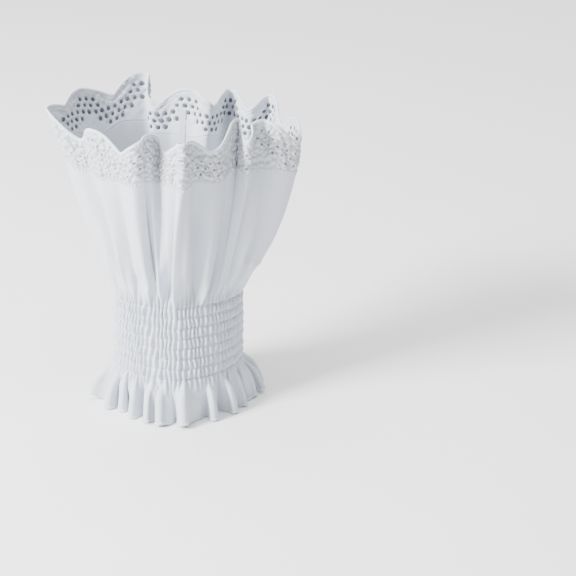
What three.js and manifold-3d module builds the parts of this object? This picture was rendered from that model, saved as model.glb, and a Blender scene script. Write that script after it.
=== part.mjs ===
// A false cuff of white cotton, standing on its frill with the lace rim up.
// One tube of cloth: a frill at the hand, a smocked band with eight rows of elastic, a sleeve that
// flares from the band in soft folds, and a scalloped eyelet lace sewn on as the rim.
// Millimetres, +Z up, +X to the right and +Y to the back as seen from the front; the origin is the
// middle of the whole cuff's box, on the surface that the hem rests on.
import * as THREE from 'three';
import { mergeVertices } from 'three/addons/utils/BufferGeometryUtils.js';
import Module from 'manifold-3d';

const wasm = await Module();
wasm.setup();

// Lace
const SCALLOP_PITCH = 34;
const SCALLOP_COUNT = 12;
const LACE_PEAK = 24;
const LACE_VALLEY = 15;
const LACE_WALL = 1.1;
const BORDER_WALL = 1.8;
const BORDER_WIDTH = 2.4;
const EYELET = 2.1;
const SCALLOP_FULLNESS = 1.3;

// Flared sleeve
const SLEEVE_LENGTH = 70;
const SLEEVE_WALL = 1.2;
const GATHERS = 24;
const GATHER_DEPTH = 1.3;
const GATHER_FADE = 48;

// Smocked band
const BAND_HEIGHT = 36;
const BAND_WALL = 2.4;
const BAND_HALF_WIDTH = 32.5;
const BAND_HALF_DEPTH = 28;
const BAND_TOP_HALF_WIDTH = 31.7;
const BAND_TOP_HALF_DEPTH = 20;
const BAND_TOP_SHIFT = { across: 1.2, back: -3 };
const ELASTIC_ROWS = 8;
const RIBS = 38;
const RIB_DEPTH = 0.65;
const ROW_DEPTH = 0.8;

// Wrist frill
const FRILL_LENGTH = 21.8;
const FRILL_WALL = 1.2;
const HEM_HALF_WIDTH = 40.5;
const HEM_HALF_DEPTH = 35.5;
const FLUTES = 22;
const FLUTE_DEPTH = 4.2;
const FLUTE_WANDER = 0.3;
const FLUTE_UNEVENNESS = 0.25;
const HEM_PRESS = 1.2;

// Side seam
const SEAM_WIDTH = 4.5;
const SEAM_WALL = 1;
const SEAM_FOOT = 8;

// Clearance that neighbouring pieces keep
const GAP = 0.3;

// Softness of the plan outlines: 2 is an ellipse, less has soft corners at the front and sides
const BAND_ROUNDNESS = 1.9;
const HEM_ROUNDNESS = 1.3;

// The most that cloth leans from upright, as a share of its length
const MOST_LEAN = 0.95;

// Middle of the rim beside the middle of the band, as shares of the rim's half width
const RIM_SHIFT = { across: 0.033, back: 0 };

// Folds of the rim, in order round it from the left corner by the front. Columns: the fold; its
// place across and back from the rim's middle, as shares of the rim's half width; how far the
// sleeve below it bellies out, as a share of its lean; how much taller it stands, as a share of
// the sleeve's length.
const RIM_FOLDS = [
  ['left corner', -1.07, 0.05, -0.15, 0.06],
  ['left front face', -0.88, -0.17, -0.1, -0.03],
  ['first front ridge', -0.68, -0.41, 0, -0.01],
  ['first front hollow', -0.5, -0.62, 0, 0],
  ['second front ridge', -0.29, -0.73, 0, 0.02],
  ['deep front valley', -0.14, -0.52, 0.1, -0.03],
  ['front crease', 0.02, -0.87, 0.3, 0.03],
  ['beside the crease', 0.18, -0.72, 0.4, 0.01],
  ['third front ridge', 0.41, -0.54, 0.6, -0.02],
  ['turn into the pleat', 0.48, -0.42, 0.8, 0.01],
  ['pleat', 0.54, -0.3, 0.9, 0.03],
  ['folded loop', 0.61, -0.56, 0.9, 0.02],
  ['behind the loop', 0.75, -0.36, 0.9, 0.02],
  ['right front hollow', 0.88, -0.4, 1, 0.05],
  ['right corner', 1.05, -0.34, 1.05, 0.03],
  ['right wall', 1.03, 0.02, 1, -0.02],
  ['right back ridge', 0.95, 0.28, 0.7, -0.02],
  ['right back hollow', 0.86, 0.58, 0.5, 0.03],
  ['back ridge', 0.7, 0.48, 0.5, 0.02],
  ['back hollow', 0.51, 0.77, 0.5, 0.01],
  ['seam ridge', 0.33, 0.48, 0.4, 0.03],
  ['beside the seam', 0.18, 0.62, 0.3, 0],
  ['back step', -0.01, 0.7, 0.2, 0.02],
  ['turn of the step', -0.17, 0.72, 0.15, 0.03],
  ['back crease', -0.2, 0.91, 0.1, 0.1],
  ['left back face', -0.48, 0.82, 0, 0.12],
  ['left back ridge', -0.75, 0.62, 0, 0.07],
  ['left back turn', -0.99, 0.36, 0, 0.14],
];

// Where the side seam runs inside the back, as a share of the way round the rim from its left corner
const SEAM_SHARE = 0.758;

// Eyelets of one scallop, on both sides of its peak. Columns: place across from the peak, as a
// share of the pitch; height above the seam, as a share of the lace's height at the peak.
const EYELETS = [
  [1 / 16, 0.77],
  [1 / 16, 0.59],
  [3 / 16, 0.66],
  [5 / 16, 0.52],
  [7 / 16, 0.4],
];

// Fineness of the facets
const COLUMNS_PER_SCALLOP = 8;
const COLUMNS_PER_FLUTE = 4;
const SLEEVE_STEPS = [0, 0.07, 0.2, 0.4, 0.62, 0.82, 1];
const FRILL_STEPS = [0, 0.3, 0.65, 1];
const PLAN_POINTS = 72;
const LEAN_STEPS = 24;
const EYELET_SIDES = 5;
const SEAM_STEPS = 12;

const LACE_LENGTH = SCALLOP_PITCH * SCALLOP_COUNT;
const CLOTH_LENGTH = SLEEVE_LENGTH + LACE_PEAK;

// A closed plan curve whose points are evenly spaced along its length
function planCurve(points) {
  const curve = new THREE.CatmullRomCurve3(points, true, 'centripetal');
  curve.arcLengthDivisions = 1200;
  return curve;
}

// An oval that starts at its left end and runs round by the front
function oval(halfWidth, halfDepth, roundness, shift) {
  const bow = (value) => Math.sign(value) * Math.abs(value) ** (2 / roundness);
  const points = [];
  for (let i = 0; i < PLAN_POINTS; i += 1) {
    const turn = (2 * Math.PI * i) / PLAN_POINTS;
    const x = shift.across - halfWidth * bow(Math.cos(turn));
    const y = shift.back - halfDepth * bow(Math.sin(turn));
    points.push(new THREE.Vector3(x, y, 0));
  }
  return planCurve(points);
}

const centred = { across: 0, back: 0 };
const bandFoot = oval(BAND_HALF_WIDTH, BAND_HALF_DEPTH, BAND_ROUNDNESS, centred);
const bandHead = oval(BAND_TOP_HALF_WIDTH, BAND_TOP_HALF_DEPTH, BAND_ROUNDNESS, BAND_TOP_SHIFT);
const hemOutline = oval(HEM_HALF_WIDTH, HEM_HALF_DEPTH, HEM_ROUNDNESS, centred);

// The rim's curve through its folds, sized so that its length is the lace's own
const foldCurve = planCurve(RIM_FOLDS.map(([, across, back]) => new THREE.Vector3(across, back, 0)));
const rimHalfWidth = LACE_LENGTH / foldCurve.getLength();

// A column of the fold table, eased from one fold to the next
function foldValue(column, along) {
  const place = along * RIM_FOLDS.length;
  const index = Math.floor(place);
  const ease = THREE.MathUtils.smoothstep(place - index, 0, 1);
  const here = RIM_FOLDS[index % RIM_FOLDS.length][column];
  const next = RIM_FOLDS[(index + 1) % RIM_FOLDS.length][column];
  return THREE.MathUtils.lerp(here, next, ease);
}

const wrap = (share) => ((share % 1) + 1) % 1;

function rimPoint(share) {
  const point = foldCurve.getPointAt(wrap(share));
  point.x += RIM_SHIFT.across;
  point.y += RIM_SHIFT.back;
  return point.multiplyScalar(rimHalfWidth);
}

// The frill: each stretch of cloth keeps its length, so a ridge that leans out stands off the
// floor. Its flutes wander to either side of an even spacing, and no two are alike in depth.
function hemPlace(place) {
  const wave = (cycles, start) => Math.sin(2 * Math.PI * (cycles * place + start));
  const share = wrap(place + (FLUTE_WANDER * (wave(3, 0.15) + 0.6 * wave(7, 0))) / FLUTES);
  const depth = FLUTE_DEPTH * (1 + FLUTE_UNEVENNESS * wave(5, 0.3));
  const top = bandFoot.getPointAt(share);
  const hem = hemOutline.getPointAt(share);
  const outward = hem.clone().normalize();
  hem.addScaledVector(outward, depth * Math.cos(2 * Math.PI * FLUTES * place));
  const lean = Math.min(hem.distanceTo(top), MOST_LEAN * FRILL_LENGTH);
  return { top, hem, drop: Math.sqrt(FRILL_LENGTH ** 2 - lean ** 2) };
}

function columnShares(count, offset = 0) {
  return Array.from({ length: count }, (_, i) => (i + offset) / count);
}

const frillPlaces = columnShares(FLUTES * COLUMNS_PER_FLUTE, 0.5).map(hemPlace);
const bandLow = Math.max(...frillPlaces.map((place) => place.drop));
const bandHigh = bandLow + GAP + BAND_HEIGHT;
const sleeveFoot = bandHigh + GAP;

// Middle of the sleeve and lace: a point at a share of the way round, and a length up the cloth
function sleevePoint(share, length) {
  const foot = bandHead.getPointAt(wrap(share));
  const head = rimPoint(share);
  const along = foldCurve.getUtoTmapping(wrap(share));
  const belly = foldValue(3, along);
  const taller = foldValue(4, along);
  const lean = head.distanceTo(foot) / CLOTH_LENGTH;
  const t = length / CLOTH_LENGTH;
  let rise = 0;
  for (let i = 0; i < LEAN_STEPS; i += 1) {
    const at = ((i + 0.5) / LEAN_STEPS) * t;
    const slope = lean * (1 + belly * (1 - 2 * at));
    rise += Math.sqrt(1 - Math.min(Math.abs(slope), MOST_LEAN) ** 2) * (length / LEAN_STEPS);
  }
  const point = foot.clone().lerp(head, t + belly * t * (1 - t));
  const fade = Math.max(1 - length / GATHER_FADE, 0) ** 2;
  const outward = foot.clone().normalize();
  point.addScaledVector(outward, GATHER_DEPTH * fade * Math.cos(2 * Math.PI * GATHERS * share));
  point.z = sleeveFoot + rise + taller * Math.min(length, SLEEVE_LENGTH);
  return point;
}

// Square to the sleeve or lace at a point of it, pointing out
function outwardDirection(share, length) {
  const step = EYELET / 2;
  const turn = step / LACE_LENGTH;
  const around = sleevePoint(share + turn, length).sub(sleevePoint(share - turn, length));
  const up = sleevePoint(share, length + step).sub(sleevePoint(share, length - step));
  return around.cross(up).normalize();
}

// Height of the lace above its seam: rounded peaks and narrow valleys
function laceHeight(share) {
  const wave = Math.abs(Math.cos(Math.PI * SCALLOP_COUNT * share)) ** SCALLOP_FULLNESS;
  return THREE.MathUtils.lerp(LACE_VALLEY, LACE_PEAK, wave);
}

// Outward direction at each point of a closed grid of rows
function outwardAt(rows, j, i) {
  const row = rows[j];
  const around = row[(i + 1) % row.length].clone().sub(row[(i + row.length - 1) % row.length]);
  const above = rows[Math.min(j + 1, rows.length - 1)][i];
  const below = rows[Math.max(j - 1, 0)][i];
  return around.cross(above.clone().sub(below)).normalize();
}

// The rows of a grid moved outward, each by its own distance. The row on a seam takes the
// directions of the seam, so that both pieces that meet there end alike.
function offsetRows(rows, distances, seamRow, seamDirections) {
  return rows.map((row, j) => row.map((point, i) => {
    const outward = j === seamRow ? seamDirections[i] : outwardAt(rows, j, i);
    return point.clone().addScaledVector(outward, distances[j]);
  }));
}

function geometryFrom(points, triangles) {
  const geometry = new THREE.BufferGeometry();
  const places = points.flatMap((point) => point.toArray());
  geometry.setAttribute('position', new THREE.Float32BufferAttribute(places, 3));
  geometry.setIndex(triangles);
  return geometry;
}

// A closed wall round a hollow, from its outer and inner rows, both listed from the bottom up
function wallGeometry(outer, inner) {
  const columns = outer[0].length;
  const points = [...outer.flat(), ...inner.flat()];
  const innerStart = outer.length * columns;
  const triangles = [];
  const quad = (a, b, c, d) => triangles.push(a, b, c, a, c, d);
  for (let i = 0; i < columns; i += 1) {
    const next = (i + 1) % columns;
    for (let j = 0; j < outer.length - 1; j += 1) {
      const low = j * columns;
      const high = low + columns;
      quad(low + i, low + next, high + next, high + i);
    }
    for (let j = 0; j < inner.length - 1; j += 1) {
      const low = innerStart + j * columns;
      const high = low + columns;
      quad(low + next, low + i, high + i, high + next);
    }
    const outerTop = (outer.length - 1) * columns;
    const innerTop = innerStart + (inner.length - 1) * columns;
    quad(i, innerStart + i, innerStart + next, next);
    quad(outerTop + next, innerTop + next, innerTop + i, outerTop + i);
  }
  return geometryFrom(points, triangles);
}

function toSolid(geometry) {
  const bare = geometry.clone();
  bare.deleteAttribute('normal');
  bare.deleteAttribute('uv');
  const merged = mergeVertices(bare, 1e-4);
  return new wasm.Manifold(new wasm.Mesh({
    numProp: 3,
    vertProperties: new Float32Array(merged.attributes.position.array),
    triVerts: new Uint32Array(merged.index.array),
  }));
}

function fromSolid(solid) {
  const mesh = solid.getMesh();
  const geometry = new THREE.BufferGeometry();
  geometry.setAttribute('position', new THREE.BufferAttribute(new Float32Array(mesh.vertProperties), 3));
  geometry.setIndex(new THREE.BufferAttribute(new Uint32Array(mesh.triVerts), 1));
  return geometry;
}

function piece(name, geometry, color, roughness) {
  geometry.computeVertexNormals();
  const material = new THREE.MeshStandardMaterial({ color, roughness, metalness: 0 });
  const mesh = new THREE.Mesh(geometry, material);
  mesh.name = name;
  return mesh;
}

// Scalloped eyelet lace: a thin wall with a thicker satin border along its scallops, pierced
function laceEdging() {
  const shares = columnShares(SCALLOP_COUNT * COLUMNS_PER_SCALLOP);
  const lengths = [
    () => SLEEVE_LENGTH + GAP,
    (share) => SLEEVE_LENGTH + laceHeight(share) - BORDER_WIDTH,
    (share) => SLEEVE_LENGTH + laceHeight(share),
  ];
  const rows = lengths.map((length) => shares.map((share) => sleevePoint(share, length(share))));
  const halves = [LACE_WALL / 2, BORDER_WALL / 2, BORDER_WALL / 2];
  const seam = shares.map((share) => outwardDirection(share, SLEEVE_LENGTH));
  const outer = offsetRows(rows, halves, 0, seam);
  const inner = offsetRows(rows, halves.map((half) => -half), 0, seam);
  const wall = wallGeometry(outer, inner);
  let solid = toSolid(wall);
  for (let scallop = 0; scallop < SCALLOP_COUNT; scallop += 1) {
    for (const [across, up] of EYELETS) {
      for (const side of [-1, 1]) {
        const share = (scallop + side * across) / SCALLOP_COUNT;
        solid = solid.subtract(eyeletCutter(share, SLEEVE_LENGTH + up * LACE_PEAK));
      }
    }
  }
  return fromSolid(solid);
}

// A short taper that stands through the lace, square to it, with its wide end outside
function eyeletCutter(share, length) {
  const middle = sleevePoint(share, length);
  const inward = outwardDirection(share, length).negate();
  const outside = BORDER_WALL;
  const inside = 2 * BORDER_WALL;
  const widest = (EYELET / 2) * (1 + outside / inside);
  const taper = new THREE.ConeGeometry(widest, outside + inside, EYELET_SIDES);
  taper.translate(0, (inside - outside) / 2, 0);
  taper.applyQuaternion(new THREE.Quaternion().setFromUnitVectors(new THREE.Vector3(0, 1, 0), inward));
  taper.translate(middle.x, middle.y, middle.z);
  return toSolid(taper);
}

function flaredSleeve() {
  const shares = columnShares(SCALLOP_COUNT * COLUMNS_PER_SCALLOP);
  const rows = SLEEVE_STEPS.map((step) => shares.map((share) => sleevePoint(share, step * SLEEVE_LENGTH)));
  const half = SLEEVE_WALL / 2;
  const seam = shares.map((share) => outwardDirection(share, SLEEVE_LENGTH));
  const outer = offsetRows(rows, rows.map(() => half), rows.length - 1, seam);
  const inner = offsetRows(rows, rows.map(() => -half), rows.length - 1, seam);
  for (const row of [outer[0], inner[0]]) {
    row.forEach((point) => { point.z = sleeveFoot; });
  }
  return wallGeometry(outer, inner);
}

// Smocked band: vertical ribs drawn in at each row of elastic; the inside is plain
function smockedBand() {
  const shares = columnShares(2 * RIBS);
  const levels = 2 * ELASTIC_ROWS - 1;
  const half = BAND_WALL / 2;
  const ring = (high, offset) => {
    const row = shares.map((share) => {
      const point = bandFoot.getPointAt(share).lerp(bandHead.getPointAt(share), high);
      point.z = bandLow + GAP + high * BAND_HEIGHT;
      return point;
    });
    return row.map((point, i) => {
      const before = row[(i + row.length - 1) % row.length];
      const around = row[(i + 1) % row.length].clone().sub(before);
      const outward = around.cross(new THREE.Vector3(0, 0, 1)).normalize();
      return point.clone().addScaledVector(outward, offset(i));
    });
  };
  const outer = [];
  for (let level = 0; level < levels; level += 1) {
    const drawnIn = level % 2 === 0 ? ROW_DEPTH : 0;
    const offset = (i) => half - drawnIn + (i % 2 === 0 ? RIB_DEPTH : -RIB_DEPTH);
    outer.push(ring(level / (levels - 1), offset));
  }
  const inner = [0, 0.5, 1].map((high) => ring(high, () => -half));
  return wallGeometry(outer, inner);
}

function wristFrill() {
  const rows = FRILL_STEPS.map((step) => frillPlaces.map(({ top, hem, drop }) => {
    const point = top.clone().lerp(hem, step);
    point.z = bandLow - step * drop;
    return point;
  })).reverse();
  const half = FRILL_WALL / 2;
  const outer = offsetRows(rows, rows.map(() => half));
  const inner = offsetRows(rows, rows.map(() => -half));
  rows[0].forEach((point, i) => {
    const rest = point.z < HEM_PRESS ? 0 : point.z;
    outer[0][i].z = rest;
    inner[0][i].z = rest;
  });
  for (const row of [outer.at(-1), inner.at(-1)]) {
    row.forEach((point) => { point.z = bandLow; });
  }
  return wallGeometry(outer, inner);
}

// Side seam: the flattened allowance inside the back of the sleeve and lace
function sideSeam() {
  const shift = SEAM_WIDTH / 2 / LACE_LENGTH;
  const clear = BORDER_WALL / 2 + GAP;
  const top = SLEEVE_LENGTH + LACE_VALLEY - BORDER_WIDTH;
  const sheets = [clear, clear + SEAM_WALL].map((inward) => {
    const rows = [];
    for (let j = 0; j <= SEAM_STEPS; j += 1) {
      const length = THREE.MathUtils.lerp(SEAM_FOOT, top, j / SEAM_STEPS);
      rows.push([SEAM_SHARE - shift, SEAM_SHARE, SEAM_SHARE + shift].map((share) => {
        const outward = outwardDirection(share, length);
        return sleevePoint(share, length).addScaledVector(outward, -inward);
      }));
    }
    return rows;
  });
  const loops = sheets[0].map((near, j) => [...near, ...sheets[1][j].slice().reverse()]);
  return stripGeometry(loops);
}

// A closed bar from its cross sections, each a loop of points, from the bottom up
function stripGeometry(loops) {
  const sides = loops[0].length;
  const triangles = [];
  for (let j = 0; j < loops.length - 1; j += 1) {
    for (let i = 0; i < sides; i += 1) {
      const next = (i + 1) % sides;
      const low = j * sides;
      const high = low + sides;
      triangles.push(low + i, low + next, high + next, low + i, high + next, high + i);
    }
  }
  const last = (loops.length - 1) * sides;
  const half = sides / 2;
  for (let i = 0; i < half - 1; i += 1) {
    const far = sides - 1 - i;
    triangles.push(i, far, far - 1, i, far - 1, i + 1);
    triangles.push(last + i, last + i + 1, last + far - 1, last + i, last + far - 1, last + far);
  }
  return geometryFrom(loops.flat(), triangles);
}

const cuff = new THREE.Group();
cuff.add(piece('wrist_frill', wristFrill(), 0xeff1f5, 0.9));
cuff.add(piece('smocked_band', smockedBand(), 0xeef0f4, 0.92));
cuff.add(piece('flared_sleeve', flaredSleeve(), 0xf1f3f7, 0.88));
cuff.add(piece('lace_edging', laceEdging(), 0xf4f5f8, 0.85));
cuff.add(piece('side_seam', sideSeam(), 0xecedf0, 0.92));

const box = new THREE.Box3().setFromObject(cuff);
const middle = box.getCenter(new THREE.Vector3());
cuff.position.set(-middle.x, -middle.y, -box.min.z);
cuff.updateMatrixWorld(true);

export default cuff;
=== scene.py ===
"""The looks of a white cotton false cuff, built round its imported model. Sizes are in millimetres
and meshes in metres."""
import math

import bpy
import numpy as np
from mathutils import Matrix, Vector


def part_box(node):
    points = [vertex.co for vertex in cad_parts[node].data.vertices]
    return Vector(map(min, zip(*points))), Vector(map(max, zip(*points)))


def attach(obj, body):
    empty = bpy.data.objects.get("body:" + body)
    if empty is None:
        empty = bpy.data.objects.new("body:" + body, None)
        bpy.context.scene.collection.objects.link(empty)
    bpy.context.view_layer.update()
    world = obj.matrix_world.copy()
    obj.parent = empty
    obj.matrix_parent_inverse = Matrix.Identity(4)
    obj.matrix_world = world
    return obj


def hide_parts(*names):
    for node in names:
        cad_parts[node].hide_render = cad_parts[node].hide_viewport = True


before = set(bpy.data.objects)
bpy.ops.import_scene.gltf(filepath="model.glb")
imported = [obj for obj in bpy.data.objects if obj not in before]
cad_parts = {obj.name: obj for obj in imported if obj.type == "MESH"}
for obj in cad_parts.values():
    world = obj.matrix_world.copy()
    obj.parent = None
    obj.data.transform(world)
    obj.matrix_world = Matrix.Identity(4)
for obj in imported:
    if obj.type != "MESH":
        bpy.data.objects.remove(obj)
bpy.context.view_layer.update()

# The flared sleeve is the plain part of the cuff, one tube of fine white cotton.
# It is gathered by the elastic at its foot, and the lace's wavy rim throws it into soft folds
# that run down from the rim and fade out above the band.
MM = 0.001
SLEEVE_LENGTH = 70
SLEEVE_THICK = 0.6
SCALLOPS = 12
SCALLOP_PITCH = 34
CLOTH_ROUND = SCALLOPS * SCALLOP_PITCH
LACE_PEAK = 24
CLOTH_LENGTH = SLEEVE_LENGTH + LACE_PEAK
MOST_LEAN = 0.95
NECK = 2.2
RISE_STEPS = 16
RIM_SHIFT = 0.033
BAND_TOP_HALF_WIDTH = 31.7
BAND_TOP_HALF_DEPTH = 20
BAND_TOP_SHIFT = (1.2, -3)
BAND_ROUNDNESS = 1.9
OVAL_POINTS = 1440
POINTS_PER_FOLD = 48
SLEEVE_COLUMNS = 640
SLEEVE_ROWS = 72
SLEEVE_OVERLAP = 0.4
ROW_CROWDING = 1.25
COTTON_LIGHT = (0.635, 0.67, 0.73)
COTTON_SHADE = (0.565, 0.605, 0.67)

# Folds of the rim from the left corner round by the front. Columns: the fold; its place across and
# back from the rim's middle, in shares of the rim's half width; how far the cloth below it bellies
# out, as a share of its lean; how much taller it stands, as a share of the sleeve's length.
RIM_FOLDS = [
    ("left corner", -1.07, 0.05, -0.15, 0.06),
    ("left front face", -0.88, -0.17, -0.1, -0.03),
    ("first front ridge", -0.68, -0.41, 0, -0.01),
    ("first front hollow", -0.5, -0.62, 0, 0),
    ("second front ridge", -0.29, -0.73, 0, 0.02),
    ("deep front valley", -0.14, -0.52, 0.1, -0.03),
    ("front crease", 0.02, -0.87, 0.3, 0.03),
    ("beside the crease", 0.18, -0.72, 0.4, 0.01),
    ("third front ridge", 0.41, -0.54, 0.6, -0.02),
    ("turn into the pleat", 0.48, -0.42, 0.8, 0.01),
    ("pleat", 0.54, -0.3, 0.9, 0.03),
    ("folded loop", 0.61, -0.56, 0.9, 0.02),
    ("behind the loop", 0.75, -0.36, 0.9, 0.02),
    ("right front hollow", 0.88, -0.4, 1, 0.05),
    ("right corner", 1.05, -0.34, 1.05, 0.045),
    ("right wall", 1.03, 0.02, 0.75, -0.02),
    ("right back ridge", 0.95, 0.28, 0.6, -0.02),
    ("right back hollow", 0.86, 0.58, 0.5, 0.03),
    ("back ridge", 0.7, 0.48, 0.5, 0.02),
    ("back hollow", 0.51, 0.77, 0.5, 0.01),
    ("seam ridge", 0.33, 0.48, 0.4, 0.03),
    ("beside the seam", 0.18, 0.62, 0.3, 0),
    ("back step", -0.01, 0.7, 0.2, 0.02),
    ("turn of the step", -0.23, 0.72, 0.15, 0.03),
    ("back crease", -0.26, 0.91, 0.1, 0.13),
    ("left back face", -0.48, 0.82, 0, 0.14),
    ("left back ridge", -0.75, 0.62, 0, 0.07),
    ("left back turn", -0.99, 0.36, 0, 0.14),
]

# Where the cloth below the lace runs straighter than the rim does: each fold's place across and
# back there.
STRAIGHTER_FOLDS = {
    "deep front valley": (-0.14, -0.62),
    "turn into the pleat": (0.48, -0.49),
    "pleat": (0.54, -0.43),
    "folded loop": (0.61, -0.5),
}

# Folds of the cloth itself between the rim and the band. Columns: the fold; its place at the rim,
# halfway and at the band, in scallops round from the left corner; its half width at the rim and at
# the band, in millimetres of cloth; how far it stands out at the rim, halfway and at the band, in
# millimetres; its softness, from 1 for a pressed crease to 2 for a round fold.
CLOTH_FOLDS = [
    ("left corner", 0, 0, 0, 13, 9, 1.6, 2.6, -1.6, 2),
    ("right corner", 6.3, 6.3, 6.3, 19, 14, -1.2, -3.6, 2.2, 2),
    ("left hollow", 0.55, 0.76, 1, 6, 3.6, -3, -4, -2, 1.8),
    ("first ridge", 0.97, 1.03, 1.15, 6, 4.5, 1.5, 2.2, 1.5, 2),
    ("shallow hollow", 1.36, 1.4, 1.5, 5, 4, -0.8, -2.2, -1.2, 2),
    ("second ridge", 1.72, 1.78, 1.96, 5, 4, 1.6, 2.6, 1.4, 1.6),
    ("fine crease", 1.9, 2.04, 2.3, 1.9, 2.2, -0.9, -2, -1.2, 1.6),
    ("thin ridge", 2.03, 2.18, 2.43, 1.8, 2, 0.9, 1.4, 1, 1.6),
    ("deep hollow", 2.4, 2.5, 2.55, 6, 4, 0.6, -1.4, -1.4, 2),
    ("inside of the crease", 2.76, 2.7, 2.67, 4, 3.2, -3.4, -3, -1.8, 1.8),
    ("front crease", 2.95, 2.86, 2.82, 2.2, 2.1, 2.2, 2.5, 1.9, 1.1),
    ("beside the crease", 3.1, 3.12, 3.16, 4, 3.2, 0.6, 1.2, 0.8, 2),
    ("hollow by the crease", 3.3, 3.38, 3.54, 5, 4, -2, -3.6, -2.2, 1.8),
    ("third ridge", 3.6, 3.65, 3.74, 5, 4, 1.2, 2.8, 1.8, 1.8),
    ("right hollow", 3.95, 4, 4.02, 4.5, 4, -0.4, -2.8, -1.8, 2),
    ("fourth ridge", 4.3, 4.32, 4.34, 5, 4, 0.6, 2, 1.4, 1.8),
    ("pleat line", 4.87, 4.7, 4.74, 3.2, 2.6, -2.8, -2.8, -1.8, 1.4),
    ("ridge by the pleat", 5.1, 4.92, 4.93, 6, 4, 0.8, 1.6, 1.1, 2),
    ("inside hollow", 10.3, 10.35, 10.4, 9, 7, 0.8, 1, 0.8, 2),
    ("inside crease", 9.92, 9.92, 9.92, 3, 5, 1.6, 1.4, 0.8, 1.1),
]
DRAPE_START = 5
DRAPE_SHARPNESS = 1.8

# Gathers above the elastic. Columns: their kind; how many there are round the cuff; half width in
# millimetres of cloth; how high they reach and how far they stand out, in millimetres.
GATHERS = [
    ("short gathers", 38, 2.5, 10, 1.9),
    ("long gathers", 26, 3.9, 32, 2.4),
]
# How gathers differ: in place, by a share of the distance between two; in drift, by scallops for
# each millimetre up; in reach and strength, by shares of their kind's.
GATHER_OFFSET = 0.25
GATHER_DRIFT = 0.012
GATHER_REACHES = (0.55, 1.6)
GATHER_STRENGTHS = (0.45, 1.3)
GATHER_SPREAD = 0.6
GATHER_FADE = 1.6
GATHER_MEAN = 1.9

# Dents of the cloth just above the band. Columns: the dent; its place round in scallops and up in
# millimetres; its half width in millimetres of cloth; its half height; how far it stands out.
DENTS = [
    ("dimple", 1.6, 13, 8, 6, -2.2),
    ("bulge", 2.0, 10, 6, 4, 2),
    ("right dimple", 3.25, 9, 6, 5, -1),
    ("sag at the right", 5.3, 20, 14, 2.5, 0.8),
]
# Wrinkles all over the cloth. Columns: their kind; waves round the cuff; the seed of their random
# wave; how far they lean for each millimetre up; how far they stand out.
WRINKLES = [
    ("broad wrinkles", 26, 21, 0.0004, 0.2),
    ("fine wrinkles", 41, 22, -0.0003, 0.1),
]
WRINKLE_START = 20

# The cuff was once pressed flat along its front, at a place in scallops.
PRESS_PLACE = 2.9
PRESS_DEPTH = 2.2
PRESS_WIDTH = 24
PRESS_MEAN = 0.35
PRESS_FADE = 18

# Puckers of the elastic, which run on from the band into the foot of the sleeve.
ELASTIC_ROWS = 8
ROW_PINCH = 0.58
ROW_HALF_HEIGHT = 0.8
PUCKERS = 76
PUCKER_DEPTH = 1.8
PUCKER_UNEVENNESS = 0.25
PUCKER_SHARPNESS = 1.7
PUCKER_SINK = 0.85
PUCKER_DRIFT = 0.3
MEANDER = 0.11
MEANDER_UNEVENNESS = 0.6
MEANDER_SHIFT = 2.4
PUCKER_OPENING = 1.5
PUCKER_REACH = 6.5

band_low, band_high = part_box("smocked_band")
band_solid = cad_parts["smocked_band"].data.vertices
solid_points = np.empty(len(band_solid) * 3)
band_solid.foreach_get("co", solid_points)
solid_points = solid_points.reshape(-1, 3) / MM
foot_ring = solid_points[solid_points[:, 2] < band_low.z / MM + 0.1]
AXIS = (foot_ring.min(0) + foot_ring.max(0))[:2] / 2
SLEEVE_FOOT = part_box("flared_sleeve")[0].z / MM
BAND_BOTTOM = band_low.z / MM
BAND_HEIGHT = (band_high.z - band_low.z) / MM


def directions(vectors):
    """Vectors over their own lengths."""
    return vectors / np.linalg.norm(vectors, axis=-1, keepdims=True)


def bowed(wave, power):
    """A wave's size to a power, with the wave's own sign."""
    return np.sign(wave) * np.abs(wave) ** power


def even_steps(curve, *columns):
    """Shares of the length of a closed plan curve at its points, with its first point repeated at
    the end: the running sum of the distances between neighbours, over the whole length."""
    closed = np.vstack([curve, curve[:1]])
    steps = np.linalg.norm(np.diff(closed, axis=0), axis=1)
    along = np.concatenate([[0], np.cumsum(steps)])
    values = [np.append(column, column[0]) for column in (*curve.T, *columns)]
    return along / along[-1], along[-1], values


def looked_up(share, curve):
    """Values of a closed curve at shares of its length, each by straight lines between points."""
    along, _, columns = curve
    wrapped = np.mod(share, 1)
    return [np.interp(wrapped, along, column) for column in columns]


def oval(half_width, half_depth, roundness, shift):
    """An oval from its left end round by the front: x is minus the half width times the cosine and
    y minus the half depth times the sine of the turn, each to the power two over the roundness."""
    turn = np.linspace(0, 2 * np.pi, OVAL_POINTS, endpoint=False)
    x = shift[0] - half_width * bowed(np.cos(turn), 2 / roundness)
    y = shift[1] - half_depth * bowed(np.sin(turn), 2 / roundness)
    return even_steps(np.stack([x, y], -1))


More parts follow.
